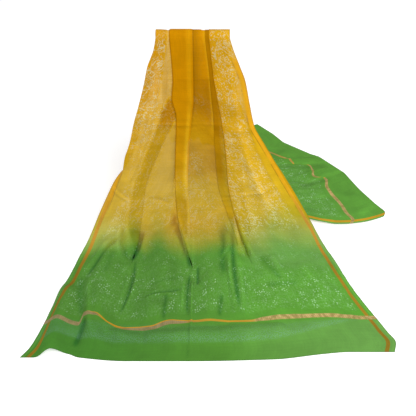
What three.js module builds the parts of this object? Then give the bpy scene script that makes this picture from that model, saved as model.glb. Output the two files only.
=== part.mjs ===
// Block printed dupatta: one rectangular sheet of sheer cloth, 1000 wide and 2100 long,
// hung over an unseen bar. The front end comes down in narrow pleats, fans out and lies
// on the surface towards -Y. The other end drops behind the bar and spreads to the right.
// Millimetres, +Z up, +X to the right, -Y towards the front hem.
import * as THREE from 'three';

// ---- the cloth ----
const CLOTH_THICKNESS = 1.1;
const FOLD_REACH = 1.6; // how far the two layers draw back from the turn of a fold
const LEAST_FOLD = 2 * FOLD_REACH + 0.4; // narrowest that a pleat shrinks to

// ---- the front half, measured along the cloth from the front hem ----
const FRONT_HEM_Y = 590;
const FRONT_LYING = 325; // length that lies on the surface
const HANG_CURVE = 107; // catenary parameter of the hanging part
const HANG_LENGTH = 648; // from the surface up to the bar
const BAR_RADIUS = 14; // radius of the innermost turn over the bar

// ---- the back half, measured along the cloth from the second hem ----
const BACK_LENGTH = 1100;
const BACK_LEAVES_BAR = 60; // how far it runs straight back before it turns to the right
const TOP_CLIMB = 0.9; // rise per length of cloth, just behind the bar
const BACK_SLACK = 26; // height of the swells near the foot of the hanging back
const LEAST_LYING = 40; // shortest length of the back half that lies on the surface

// ---- spacing of stacked layers ----
const LAYER_PITCH_TOP = 2.1;
const LAYER_PITCH_LOW = 3.6;
const TOP_LEVEL_LEFT = 4.2; // layers that the left panel rides up by, over the bar
const TOP_LEVEL_VALLEY = 3.6; // the same for the valley beside the pleat stack

// ---- pleats ----
const SELVEDGE_TURN = 20; // width of the selvedge that is turned under
const GATHER_FRONT = 130; // length over which a pleat forms, above the point where it ends
const GATHER_BACK = 270;
const OPEN_FRONT = 140; // length over which it widens to its full depth
const OPEN_BACK = 260;
const STACK_LEAN = 1.2; // each pleat of the stack sits a little inside the one below
const STACK_EDGE = 9; // width of the step down at the right of the stack
const RIGHT_FOLD_DEPTH = 46;

const FRONT_TOP = FRONT_LYING + HANG_LENGTH;

// A table with named columns, from one row of numbers per section or fold.
function tableOf(names, rows) {
  return rows.map((row) => Object.fromEntries(names.map((name, i) => [name, row[i]])));
}

// Left and right edges of the hanging front: x at each length from the hem.
const FRONT_EDGES = tableOf(['s', 'left', 'right'], [
  [0, -480, 480],
  [30, -460, 490],
  [60, -450, 475],
  [230, -405, 400],
  [330, -380, 365],
  [450, -335, 305],
  [535, -295, 255],
  [635, -245, 190],
  [685, -225, 160],
  [740, -210, 130],
  [800, -190, 115],
  [865, -170, 100],
  [900, -160, 85],
  [945, -140, 65],
  [990, -130, 50],
]);

// The front hem is not quite straight: how far it lies back from its line.
const FRONT_HEM = tableOf(['x', 'y'], [
  [-470, 0],
  [-435, 0],
  [-400, 15],
  [-360, 10],
  [-330, 0],
  [-205, -10],
  [-45, -10],
  [170, -5],
  [300, 10],
  [365, 15],
  [455, 15],
]);

// Rows of the grid: close together on the surface, where the cloth is puckered.
const FRONT_STATIONS = [
  0, 30, 62, 96, 130, 165, 200, 235, 268, 298, 328, 358,
  388, 420, 458, 500, 545, 595, 650, 710, 767, 817, 868, 930,
];
const BAR_STEPS = 5;
const BACK_STATIONS = [1000, 900, 800, 705, 620, 545, 480, 420, 360, 300, 240, 180, 120, 60, 0];

// Columns of the grid where no pleat holds them: share of the width.
const OPEN_COLUMNS = tableOf(['column', 'across'], [
  [0, 0],
  [5, 0.13],
  [6, 0.15],
  [11, 0.22],
  [12, 0.235],
  [25, 0.395],
  [26, 0.41],
  [31, 0.47],
  [32, 0.485],
  [37, 0.565],
  [38, 0.58],
  [43, 0.63],
  [44, 0.65],
  [49, 0.74],
  [53, 1],
]);

// Visible fold lines of the front: x at each length from the hem.
// band: slanting three-layer band. stack: the deep pleats, one on another.
// dark: lower fold beside the right panel. panel: left edge of the right panel.
const FOLD_NAMES = ['bandLeft', 'bandRight', 'stackLeft', 'stackRight', 'dark', 'panel'];
const FRONT_FOLDS = tableOf(['s', ...FOLD_NAMES], [
  [285, -235, -225, -50, -40, 90, 130],
  [320, -240, -220, -60, -45, 95, 120],
  [380, -255, -210, -75, -50, 85, 100],
  [455, -240, -200, -95, -55, 60, 80],
  [550, -220, -185, -100, -60, 30, 60],
  [660, -175, -140, -95, -55, 20, 50],
  [765, -135, -100, -90, -45, 15, 35],
  [815, -125, -115, -105, -40, 10, 25],
  [870, -120, -110, -105, -40, 5, 15],
  [990, -115, -105, -100, -40, -10, 0],
]);

// The same fold lines behind the bar: share of the width at each distance from the second hem.
const BACK_FOLDS = tableOf(['along', ...FOLD_NAMES], [
  [600, 0.17, 0.2, 0.41, 0.55, 0.6, 0.66],
  [720, 0.15, 0.19, 0.37, 0.55, 0.61, 0.67],
  [820, 0.13, 0.18, 0.31, 0.54, 0.63, 0.68],
  [950, 0.11, 0.165, 0.24, 0.52, 0.66, 0.7],
  [1100, 0.087, 0.153, 0.186, 0.508, 0.678, 0.71],
]);

// Where each pleat runs out: distance from the front hem and from the second hem.
const PLEATS = tableOf(['name', 'ends', 'backEnds'], [
  ['band', 320, 640],
  ['stack1', 590, 820],
  ['stack2', 460, 760],
  ['stack3', 305, 680],
  ['panel1', 385, 780],
  ['panel2', 320, 730],
]);

// Soft ridges that stand up from the lying and hanging front.
const FRONT_RIDGES = tableOf(['x0', 's0', 'x1', 's1', 'width', 'height'], [
  [-404, -30, -396, 190, 46, 20],
  [-300, 60, -292, 350, 62, 20],
  [-236, 345, -232, 470, 46, 12],
  [-140, 150, -140, 350, 74, 22],
  [14, 140, 6, 350, 56, 18],
  [84, 150, 72, 350, 34, 15],
  [205, 150, 185, 360, 80, 13],
  [320, 190, 290, 420, 60, 8],
  [-330, 84, -190, 62, 26, 11],
  [-150, 66, 190, 84, 30, 12],
  [190, 440, 112, 720, 54, 12],
]);

// Second hem on the surface, and the points that steer each length of the back half.
const BACK_RAYS = tableOf(['across', 'steerX', 'steerY', 'hemX', 'hemY'], [
  [0, -140, 1560, -35, 1830],
  [0.2, -60, 1500, 100, 1640],
  [0.34, -5, 1435, 170, 1545],
  [0.38, 15, 1415, 190, 1555],
  [0.46, 50, 1365, 245, 1495],
  [0.52, 80, 1330, 280, 1445],
  [0.64, 140, 1240, 370, 1380],
  [0.68, 160, 1215, 400, 1365],
  [0.8, 230, 1125, 475, 1280],
  [0.87, 255, 1070, 510, 1200],
  [0.95, 280, 985, 550, 1130],
  [0.985, 285, 940, 575, 1095],
  [1, 285, 925, 565, 1075],
]);

// Soft ridges of the back half: along is the distance from the second hem.
const BACK_RIDGES = tableOf(['across0', 'along0', 'across1', 'along1', 'spread', 'height'], [
  [0.985, 60, 1.0, 330, 0.1, 7],
  [0.66, 70, 0.72, 330, 0.07, 13],
  [0.44, 60, 0.5, 330, 0.08, 16],
  [0.18, 40, 0.24, 420, 0.09, 18],
]);

// ---- small helpers ----
function smooth(a, b, v) {
  const t = Math.min(1, Math.max(0, (v - a) / (b - a)));
  return t * t * (3 - 2 * t);
}

function mix(a, b, t) {
  return a + (b - a) * t;
}

function readRow(table, key, column, v) {
  // value of one column between the two nearest rows
  const above = table.findIndex((row) => v <= row[key]);
  if (above === 0) return table[0][column];
  if (above < 0) return table[table.length - 1][column];
  const low = table[above - 1];
  const high = table[above];
  return mix(low[column], high[column], (v - low[key]) / (high[key] - low[key]));
}

function ridgeShape(distance, width) {
  // rounded top that runs out softly into the cloth around it
  const t = Math.min(1, Math.abs(distance) / width);
  return 0.5 + 0.5 * Math.cos(Math.PI * t);
}

function alongSegment(px, py, ax, ay, bx, by) {
  const dx = bx - ax;
  const dy = by - ay;
  return ((px - ax) * dx + (py - ay) * dy) / (dx * dx + dy * dy);
}

// ---- relief ----
function frontRelief(x, s) {
  let height = 0;
  for (const ridge of FRONT_RIDGES) {
    const t = alongSegment(x, s, ridge.x0, ridge.s0, ridge.x1, ridge.s1);
    const inside = Math.min(1, Math.max(0, t));
    const cx = mix(ridge.x0, ridge.x1, inside);
    const cs = mix(ridge.s0, ridge.s1, inside);
    const lift = ridgeShape(Math.hypot(x - cx, s - cs), ridge.width);
    height = Math.max(height, ridge.height * lift);
  }
  return height;
}

function backRelief(across, along) {
  let height = 0;
  for (const ridge of BACK_RIDGES) {
    const t = (along - ridge.along0) / (ridge.along1 - ridge.along0);
    const inside = Math.min(1, Math.max(0, t));
    const centre = mix(ridge.across0, ridge.across1, inside);
    const ends = smooth(-0.15, 0.4, t) * (1 - smooth(0.8, 1.3, t));
    height += ridge.height * ridgeShape(across - centre, ridge.spread) * ends;
  }
  // slack gathered where the hanging cloth meets the surface
  const slack = BACK_SLACK * Math.sin(Math.PI * across);
  height += slack * ridgeShape(along - 330, 90) + slack * ridgeShape(along - 520, 100);
  return height;
}

// ---- base surface ----
function edgesAt(s) {
  return {
    left: readRow(FRONT_EDGES, 's', 'left', s),
    right: readRow(FRONT_EDGES, 's', 'right', s),
  };
}

function frontBase(s, across) {
  const edge = edgesAt(s);
  const x = mix(edge.left, edge.right, across);
  const hang = Math.max(0, s - FRONT_LYING);
  const hemShift = readRow(FRONT_HEM, 'x', 'y', x) * (1 - smooth(0, 300, s));
  const run = HANG_CURVE * Math.asinh(hang / HANG_CURVE);
  const y = FRONT_HEM_Y + hemShift + Math.min(s, FRONT_LYING) + run;
  const z = Math.hypot(HANG_CURVE, hang) - HANG_CURVE;
  const slope = Math.atan(hang / HANG_CURVE);
  const outward = new THREE.Vector3(0, -Math.sin(slope), Math.cos(slope));
  const relief = frontRelief(x, s) * (1 - smooth(820, 960, s));
  const point = new THREE.Vector3(x, y, z).addScaledVector(outward, relief);
  return { point, outward };
}

const TOP_SLOPE = Math.atan(HANG_LENGTH / HANG_CURVE);
const HANG_RUN = HANG_CURVE * Math.asinh(HANG_LENGTH / HANG_CURVE);
const TOP_Y = FRONT_HEM_Y + FRONT_LYING + HANG_RUN;
const TOP_Z = Math.hypot(HANG_CURVE, HANG_LENGTH) - HANG_CURVE;
const BAR_Y = TOP_Y + BAR_RADIUS * Math.sin(TOP_SLOPE);
const BAR_Z = TOP_Z - BAR_RADIUS * Math.cos(TOP_SLOPE);
const BACK_TOP_Y = BAR_Y + BAR_RADIUS * Math.sin(TOP_SLOPE);

function barBase(turn, across) {
  // turn runs from 0 in front of the bar to 1 behind it
  const edge = edgesAt(FRONT_TOP);
  const x = mix(edge.left, edge.right, across);
  const angle = mix(TOP_SLOPE, -TOP_SLOPE, turn);
  const outward = new THREE.Vector3(0, -Math.sin(angle), Math.cos(angle));
  const point = new THREE.Vector3(x, BAR_Y, BAR_Z).addScaledVector(outward, BAR_RADIUS);
  return { point, outward };
}

function backRun(across) {
  // plan of one length of the back half, from the bar to the second hem
  const edge = edgesAt(FRONT_TOP);
  const x = mix(edge.left, edge.right, across);
  const ray = (column) => readRow(BACK_RAYS, 'across', column, across);
  return new THREE.CubicBezierCurve(
    new THREE.Vector2(x, BACK_TOP_Y),
    new THREE.Vector2(x, BACK_TOP_Y + BACK_LEAVES_BAR),
    new THREE.Vector2(ray('steerX'), ray('steerY')),
    new THREE.Vector2(ray('hemX'), ray('hemY')),
  );
}

function backSheet(along, across) {
  const run = backRun(across);
  const reach = run.getLength();
  const lying = Math.max(LEAST_LYING, reach - HANG_RUN);
  let back = along;
  let z = 0;
  if (along > lying) {
    // all lengths leave the bar alike, and their slack is taken up lower down
    const climb = along - lying;
    const whole = BACK_LENGTH - lying;
    const bend = (TOP_CLIMB - HANG_LENGTH / whole) / whole;
    const hang = climb * (HANG_LENGTH / whole - bend * whole + bend * climb);
    back = lying + HANG_CURVE * Math.asinh(hang / HANG_CURVE);
    z = Math.hypot(HANG_CURVE, hang) - HANG_CURVE;
  }
  const plan = run.getPointAt(1 - Math.min(1, back / reach));
  return new THREE.Vector3(plan.x, plan.y, z);
}

function backBase(along, across) {
  const step = 6;
  const low = backSheet(Math.max(0, along - step), across);
  const high = backSheet(Math.min(BACK_LENGTH, along + step), across);
  const left = backSheet(along, Math.max(0, across - 0.02));
  const right = backSheet(along, Math.min(1, across + 0.02));
  const outward = high.sub(low).cross(right.sub(left)).normalize();
  const relief = backRelief(across, along) * (1 - smooth(700, 960, along));
  const point = backSheet(along, across).addScaledVector(outward, relief);
  return { point, outward };
}

// ---- stations along the cloth ----
function listStations() {
  const stations = [];
  for (const s of FRONT_STATIONS) {
    stations.push({ side: 'front', s });
  }
  for (let i = 0; i <= BAR_STEPS; i += 1) {
    stations.push({ side: 'bar', turn: i / BAR_STEPS });
  }
  for (const along of BACK_STATIONS) {
    stations.push({ side: 'back', along });
  }
  return stations;
}

function baseAt(station, across) {
  // point on the cloth with its relief, and the outward direction there
  if (station.side === 'front') return frontBase(station.s, across);
  if (station.side === 'bar') return barBase(station.turn, across);
  return backBase(station.along, across);
}

function widthAt(station) {
  return baseAt(station, 0).point.distanceTo(baseAt(station, 1).point);
}

// ---- one row of columns across the cloth ----
function rowAt(station) {
  const width = widthAt(station);
  const onBack = station.side === 'back';
  const s = station.side === 'front' ? station.s : FRONT_TOP;
  const edge = edgesAt(s);
  const stage = (low, high, backLow, backHigh) => (
    onBack ? smooth(backLow, backHigh, station.along) : smooth(low, high, s)
  );
  const foldAt = (name) => {
    if (onBack) return readRow(BACK_FOLDS, 'along', name, station.along) * width;
    const x = readRow(FRONT_FOLDS, 's', name, s);
    return (x - edge.left) / (edge.right - edge.left) * width;
  };
  const fold = Object.fromEntries(FOLD_NAMES.map((name) => [name, foldAt(name)]));
  const folded = {};
  const gathered = {};
  const opened = {};
  for (const { name, ends, backEnds } of PLEATS) {
    gathered[name] = stage(ends - GATHER_FRONT, ends, backEnds - GATHER_BACK, backEnds);
    folded[name] = smooth(0.1, 0.75, gathered[name]);
    opened[name] = stage(ends - 20, ends + OPEN_FRONT, backEnds - 20, backEnds + OPEN_BACK);
  }
  const top = stage(850, 985, 740, 900);
  const r = FOLD_REACH;
  const columns = [];
  const addPoint = (x, level, hold = null, drop = 0) => columns.push({ x, level, drop, hold });

  // left selvedge: a narrow strip turned under along the upper part
  const under = stage(500, 650, 560, 860);
  const bandLevel = 2 * folded.band;
  const leftLevel = mix(bandLevel, TOP_LEVEL_LEFT, top);
  const foldX = SELVEDGE_TURN * (1 - under);
  const swing = Math.PI * under;
  for (const reach of [SELVEDGE_TURN, SELVEDGE_TURN * 0.5]) {
    const x = foldX - reach * Math.cos(swing);
    addPoint(x, mix(leftLevel, -1, under), under, reach * Math.sin(swing));
  }
  addPoint(foldX, mix(leftLevel, (leftLevel - 1) / 2, under), under);
  addPoint(foldX + r, leftLevel, under);
  const leftEnd = Math.max(foldX + r + 2, fold.bandLeft - 1.5);
  addPoint(mix(foldX + r, leftEnd, 0.5), leftLevel);
  addPoint(leftEnd, mix(leftLevel, bandLevel, 0.3), gathered.band);

  // a pleat folds over itself and steps down (-1) or up (+1) by two layers
  const addPleat = (name, turn, x, over, level) => {
    const up = turn * folded[name];
    const start = turn > 0 ? x + over : x;
    const end = turn > 0 ? x : x - over;
    const path = [
      [start - r, 0],
      [start, 0.5],
      [start - r, 0.8],
      [end + r, 1.2],
      [end, 1.5],
      [end + r, 2],
    ];
    for (const [px, layer] of path) {
      addPoint(px, level + layer * up, gathered[name]);
    }
    return level + 2 * up;
  };

  const bandOver = Math.max(LEAST_FOLD, (fold.bandRight - fold.bandLeft) * opened.band);
  let level = addPleat('band', -1, fold.bandRight, bandOver, bandLevel);
  const gap = fold.stackLeft - fold.bandRight;
  addPoint(fold.bandRight + Math.min(2, 0.3 * gap), level, gathered.band);
  addPoint(fold.stackLeft - Math.min(3, 0.3 * gap), level, gathered.stack1);

  const room = fold.stackRight - fold.stackLeft - STACK_EDGE;
  ['stack1', 'stack2', 'stack3'].forEach((name, k) => {
    const over = Math.max(LEAST_FOLD, (room - STACK_LEAN * k) * opened[name]);
    level = addPleat(name, 1, fold.stackLeft + STACK_LEAN * k, over, level);
  });
  const wall = Math.max(fold.stackRight, fold.stackLeft + 12);
  const valley = mix(0, TOP_LEVEL_VALLEY, top);
  addPoint(mix(fold.stackLeft + 4, wall - 4, 0.5), level);
  addPoint(wall - 4, level);
  addPoint(wall - 0.5, mix(level, valley, 0.45));
  addPoint(wall + 2.5, valley, gathered.stack3);

  addPoint(mix(wall + 2.5, fold.dark - 3, 0.6), valley);
  addPoint(Math.max(wall + 4, fold.dark - 2.5), 0, gathered.panel1);
  const darkOver = Math.max(LEAST_FOLD, (fold.panel - fold.dark + 12 + 20 * top) * opened.panel1);
  const panelRoom = Math.min(RIGHT_FOLD_DEPTH, width - fold.panel - 10);
  const panelOver = Math.max(LEAST_FOLD, panelRoom * opened.panel2);
  level = addPleat('panel1', 1, fold.dark, darkOver, 0);
  level = addPleat('panel2', 1, fold.panel, panelOver, level);
  const stackEnd = Math.max(fold.dark + darkOver, fold.panel + panelOver);
  const rest = level * mix(0.35, 1, smooth(500, 900, s));
  addPoint(stackEnd + 1.5, level, gathered.panel2);
  addPoint(mix(stackEnd, width, 0.3), mix(level, rest, 0.5));
  addPoint(mix(stackEnd, width, 0.65), rest);
  addPoint(width, rest);

  // where a pleat has run out, its columns spread over the cloth
  const last = columns.length - 1;
  columns[last].hold = 1;
  columns.forEach((column, i) => {
    const open = readRow(OPEN_COLUMNS, 'column', 'across', i) * width;
    if (column.hold !== null) column.placed = mix(open, column.x, column.hold);
  });
  columns.forEach((column, i) => {
    if (column.hold !== null) return;
    let before = i;
    while (columns[before].hold === null) before -= 1;
    let after = i;
    while (columns[after].hold === null) after += 1;
    const a = columns[before];
    const b = columns[after];
    column.placed = mix(a.placed, b.placed, (column.x - a.x) / (b.x - a.x));
  });
  const pitch = mix(LAYER_PITCH_LOW, LAYER_PITCH_TOP, stage(760, 985, 960, 1100));
  const stacks = [
    { from: fold.bandLeft - 1, to: fold.bandRight + 1, flat: gathered.band },
    { from: fold.stackLeft - 1, to: wall + 3, flat: gathered.stack3 },
    { from: fold.dark - 1, to: stackEnd + 1, flat: gathered.panel2 },
  ];
  return columns.map(({ placed, level: layer, drop }) => (
    pointOf(station, width, stacks, placed, layer * pitch - drop)
  ));
}

function pointOf(station, width, stacks, x, lift) {
  // layers of one stack share a straight base, so that they stay parallel
  const free = baseAt(station, x / width);
  for (const stack of stacks) {
    if (x < stack.from || x > stack.to || stack.flat < 0.5) continue;
    const a = baseAt(station, stack.from / width);
    const b = baseAt(station, stack.to / width);
    const t = (x - stack.from) / (stack.to - stack.from);
    free.point.copy(a.point).lerp(b.point, t);
    free.outward.copy(a.outward).lerp(b.outward, t).normalize();
  }
  const point = free.point.addScaledVector(free.outward, lift);
  point.z = Math.max(0, point.z) + CLOTH_THICKNESS / 2;
  return point;
}

// ---- middle surface of the cloth ----
const rows = listStations().map(rowAt);

// ---- solid: both faces of the sheet and the edge all round ----
function sheetNormals(grid) {
  const normals = grid.map((row) => row.map(() => new THREE.Vector3()));
  for (let i = 0; i < grid.length - 1; i += 1) {
    for (let j = 0; j < grid[i].length - 1; j += 1) {
      const a = grid[i][j];
      const b = grid[i][j + 1];
      const c = grid[i + 1][j + 1];
      const d = grid[i + 1][j];
      const normal = c.clone().sub(a).cross(d.clone().sub(b)).normalize();
      normals[i][j].add(normal);
      normals[i][j + 1].add(normal);
      normals[i + 1][j + 1].add(normal);
      normals[i + 1][j].add(normal);
    }
  }
  normals.flat().forEach((normal) => normal.normalize());
  return normals;
}

function solidFrom(grid, thickness) {
  const normals = sheetNormals(grid);
  const tall = grid.length;
  const wide = grid[0].length;
  const positions = [];
  for (const side of [1, -1]) {
    for (let i = 0; i < tall; i += 1) {
      for (let j = 0; j < wide; j += 1) {
        const point = grid[i][j].clone().addScaledVector(normals[i][j], side * thickness / 2);
        positions.push(point.x, point.y, Math.max(0, point.z));
      }
    }
  }
  const upper = (i, j) => i * wide + j;
  const lower = (i, j) => tall * wide + i * wide + j;
  const faces = [];
  for (let i = 0; i < tall - 1; i += 1) {
    const span = grid[i][wide - 1].clone().sub(grid[i][0]);
    for (let j = 0; j < wide - 1; j += 1) {
      // folded-back layers take the other diagonal, so that stacked layers crease alike
      const turnedBack = grid[i][j + 1].clone().sub(grid[i][j]).dot(span) < 0;
      for (const [corner, flip] of [[upper, false], [lower, true]]) {
        const ring = [corner(i, j), corner(i, j + 1), corner(i + 1, j + 1), corner(i + 1, j)];
        if (turnedBack) ring.push(ring.shift());
        const [a, b, c, d] = ring;
        if (flip) faces.push(a, c, b, a, d, c);
        else faces.push(a, b, c, a, c, d);
      }
    }
  }
  const rim = (u0, u1, l0, l1) => {
    faces.push(u0, l0, l1);
    faces.push(u0, l1, u1);
  };
  for (let j = 0; j < wide - 1; j += 1) {
    rim(upper(0, j), upper(0, j + 1), lower(0, j), lower(0, j + 1));
    rim(upper(tall - 1, j + 1), upper(tall - 1, j), lower(tall - 1, j + 1), lower(tall - 1, j));
  }
  for (let i = 0; i < tall - 1; i += 1) {
    rim(upper(i + 1, 0), upper(i, 0), lower(i + 1, 0), lower(i, 0));
    rim(upper(i, wide - 1), upper(i + 1, wide - 1), lower(i, wide - 1), lower(i + 1, wide - 1));
  }
  const geometry = new THREE.BufferGeometry();
  geometry.setAttribute('position', new THREE.Float32BufferAttribute(positions, 3));
  geometry.setIndex(faces);
  return geometry;
}

const sheet = solidFrom(rows, CLOTH_THICKNESS);
sheet.computeBoundingBox();
const box = sheet.boundingBox;
sheet.translate(-(box.min.x + box.max.x) / 2, -(box.min.y + box.max.y) / 2, -box.min.z);
sheet.computeVertexNormals();

const cloth = new THREE.MeshStandardMaterial({ color: 0xd3a835, roughness: 0.8, metalness: 0 });
const dupatta = new THREE.Mesh(sheet, cloth);
dupatta.name = 'dupatta';

const part = new THREE.Group();
part.name = 'block_printed_dupatta';
part.add(dupatta);

export default part;
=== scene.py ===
"""Block printed dupatta: one sheer cloth, hung in pleats over an unseen bar.

The sheet is laid out in millimetres on a plan of its own, with +Y away from the
front hem and +X to the right, and is then moved onto the frame's box.
"""
import math
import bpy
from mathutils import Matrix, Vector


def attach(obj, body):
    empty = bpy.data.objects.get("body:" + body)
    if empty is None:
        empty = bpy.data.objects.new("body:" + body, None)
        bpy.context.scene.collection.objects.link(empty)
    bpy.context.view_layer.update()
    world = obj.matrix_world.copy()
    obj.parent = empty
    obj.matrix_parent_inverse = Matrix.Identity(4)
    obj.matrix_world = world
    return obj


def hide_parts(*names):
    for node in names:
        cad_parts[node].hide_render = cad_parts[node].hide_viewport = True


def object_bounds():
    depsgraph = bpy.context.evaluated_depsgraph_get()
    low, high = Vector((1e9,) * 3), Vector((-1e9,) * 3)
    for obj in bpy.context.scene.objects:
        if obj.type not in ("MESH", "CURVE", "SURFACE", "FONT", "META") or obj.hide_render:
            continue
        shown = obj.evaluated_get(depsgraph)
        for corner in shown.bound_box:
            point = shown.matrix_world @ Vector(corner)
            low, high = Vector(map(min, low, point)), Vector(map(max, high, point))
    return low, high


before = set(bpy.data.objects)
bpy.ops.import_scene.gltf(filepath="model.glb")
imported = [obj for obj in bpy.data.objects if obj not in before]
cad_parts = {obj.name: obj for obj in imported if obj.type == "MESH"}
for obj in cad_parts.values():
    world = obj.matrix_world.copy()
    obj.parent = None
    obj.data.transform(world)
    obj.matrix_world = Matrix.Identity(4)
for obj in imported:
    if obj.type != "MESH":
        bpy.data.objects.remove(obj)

from types import SimpleNamespace

import bpy
import numpy as np

low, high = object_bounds()

MM = 0.001
PLAN_LEFT = -480.0       # the box's corner on the sheet's own plan
PLAN_NEAR = 580.0
origin = np.array([low[0] / MM - PLAN_LEFT, low[1] / MM - PLAN_NEAR, low[2] / MM])

SENSOR_WIDTH = 36.0
LENS = 43.27             # a field of view of about 45 degrees
EYE_HEIGHT = 1.192
EYE_DOWN = 47.0          # degrees below the horizon


def make_camera():
    data = bpy.data.cameras.new("camera")
    data.sensor_width = SENSOR_WIDTH
    data.lens = LENS
    eye = bpy.data.objects.new("camera", data)
    eye.location = (origin[0] * MM, origin[1] * MM, EYE_HEIGHT)
    eye.rotation_euler = (math.radians(90 - EYE_DOWN), 0, 0)
    bpy.context.collection.objects.link(eye)
    bpy.context.scene.camera = eye


make_camera()


# ---- tables -----------------------------------------------------------------
def table(names, rows):
    """Named columns, from one row of numbers per section or fold."""
    values = np.array(rows, float)
    return {name: values[:, i] for i, name in enumerate(names.split())}


CLOTH_WIDTH = 1000.0
FRONT_HEM_Y = 590.0
FRONT_LYING = 325.0      # length of the front that lies on the surface
HANG_CURVE = 107.0       # catenary parameter of the hanging part
HANG_LENGTH = 648.0      # from the surface up to the bar
BAR_RADIUS = 14.0
BACK_LENGTH = 1100.0
BACK_LEAVES_BAR = 60.0   # how far the back runs straight before it turns right
TOP_CLIMB = 0.9          # rise per length of cloth, just behind the bar
FRONT_TOP = FRONT_LYING + HANG_LENGTH
FOLD_REACH = 1.6         # how far the layers draw back from the turn of a fold
LEAST_FOLD = 2 * FOLD_REACH + 0.4
LAYER_PITCH_TOP = 0.5
LAYER_PITCH_LOW = 1.1
TOP_LEVEL_LEFT = 4.2
TOP_LEVEL_VALLEY = 3.6
SELVEDGE_TURN = 20.0
CROWN_RISE = 8.0         # the thin layers lie closer on the bar than the solid's
GATHER_FRONT = 130.0     # length over which a pleat forms, above the point where it ends
GATHER_BACK = 270.0
OPEN_FRONT = 140.0       # length over which it widens to its full depth
OPEN_BACK = 260.0
STACK_LEAN = 1.2         # each pleat of the stack sits a little inside the one below
STACK_EDGE = 9.0         # width of the step down at the right of the stack
RIGHT_FOLD_DEPTH = 46.0
BACK_SLACK = 26.0        # height of the swells near the foot of the hanging back
LEAST_LYING = 40.0       # shortest length of the back half that lies on the surface
OVER_BAR = 40.0          # length of cloth over the bar
CLOTH_LENGTH = FRONT_TOP + OVER_BAR + BACK_LENGTH
CLEAR_OF_FLOOR = 0.5

# Left and right edges of the front at each length from the hem.
FRONT_EDGES = table("s left right", [
    (0, -480, 480), (30, -460, 490), (60, -450, 475), (230, -405, 400),
    (330, -380, 365), (450, -335, 305), (535, -295, 255), (635, -245, 190),
    (685, -225, 160), (740, -210, 130), (800, -190, 115), (865, -170, 100),
    (900, -160, 85), (945, -140, 65), (990, -130, 50),
])

# How far the front hem lies back from its line.
FRONT_HEM = table("x y", [
    (-470, 0), (-435, 0), (-400, 15), (-360, 10), (-330, 0), (-205, -10),
    (-45, -10), (170, -5), (300, 10), (365, 15), (455, 15),
])

# Columns of the sheet where no pleat holds them: share of the width.
OPEN_COLUMNS = table("column across", [
    (0, 0), (5, 0.13), (6, 0.15), (11, 0.22), (12, 0.235), (25, 0.395),
    (26, 0.41), (31, 0.47), (32, 0.485), (37, 0.565), (38, 0.58), (43, 0.63),
    (44, 0.65), (49, 0.74), (53, 1),
])

# Fold lines of the front: x at each length from the hem.
FRONT_FOLDS = table("s bandLeft bandRight stackLeft stackRight dark panel", [
    (285, -235, -225, -50, -40, 90, 130),
    (320, -240, -220, -60, -45, 95, 120),
    (380, -255, -210, -75, -50, 85, 100),
    (455, -240, -200, -95, -55, 60, 80),
    (550, -220, -185, -100, -60, 30, 60),
    (660, -175, -140, -95, -55, 20, 50),
    (765, -135, -100, -90, -45, 15, 35),
    (815, -125, -115, -100, -40, 10, 25),
    (870, -125, -110, -95, -40, 5, 15),
    (990, -115, -105, -100, -40, -10, 0),
])

# The same lines behind the bar: share of the width, by distance from the second hem.
BACK_FOLDS = table("along bandLeft bandRight stackLeft stackRight dark panel", [
    (600, 0.17, 0.2, 0.41, 0.55, 0.6, 0.66),
    (720, 0.15, 0.19, 0.37, 0.55, 0.61, 0.67),
    (820, 0.13, 0.18, 0.31, 0.54, 0.63, 0.68),
    (950, 0.11, 0.165, 0.24, 0.52, 0.66, 0.7),
    (1100, 0.087, 0.153, 0.186, 0.508, 0.678, 0.71),
])

# Where each pleat runs out: distance from the front hem and from the second hem.
PLEATS = {
    "band": (320, 640),
    "stack1": (590, 820),
    "stack2": (460, 760),
    "stack3": (305, 680),
    "panel1": (385, 780),
    "panel2": (320, 730),
}

# Soft ridges that stand up from the front.
FRONT_RIDGES = table("x0 s0 x1 s1 width height", [
    (-404, -30, -396, 190, 46, 20), (-300, 60, -292, 350, 62, 20),
    (-236, 345, -232, 470, 46, 12), (-140, 150, -140, 350, 74, 22),
    (14, 140, 6, 350, 56, 18), (84, 150, 72, 350, 34, 15),
    (205, 150, 185, 360, 80, 13), (320, 190, 290, 420, 60, 8),
    (-330, 84, -190, 62, 26, 11), (-150, 66, 190, 84, 30, 12),
    (190, 440, 112, 720, 54, 12),
])

# Second hem, and the points that steer each length of the back half.
BACK_RAYS = table("across steerX steerY hemX hemY", [
    (0, -140, 1560, -35, 1830), (0.2, -60, 1500, 100, 1640),
    (0.34, -5, 1435, 170, 1545), (0.38, 15, 1415, 190, 1555),
    (0.46, 50, 1365, 245, 1495), (0.52, 80, 1330, 280, 1445),
    (0.64, 140, 1240, 370, 1380), (0.68, 160, 1215, 400, 1365),
    (0.8, 230, 1125, 475, 1280), (0.87, 255, 1070, 510, 1200),
    (0.95, 280, 985, 550, 1130), (0.985, 285, 940, 575, 1095),
    (1, 285, 925, 565, 1075),
])

BACK_RIDGES = table("across0 along0 across1 along1 spread height", [
    (0.985, 60, 1.0, 330, 0.1, 7), (0.66, 70, 0.72, 330, 0.07, 13),
    (0.44, 60, 0.5, 330, 0.08, 16), (0.18, 40, 0.24, 420, 0.09, 18),
])

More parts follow.
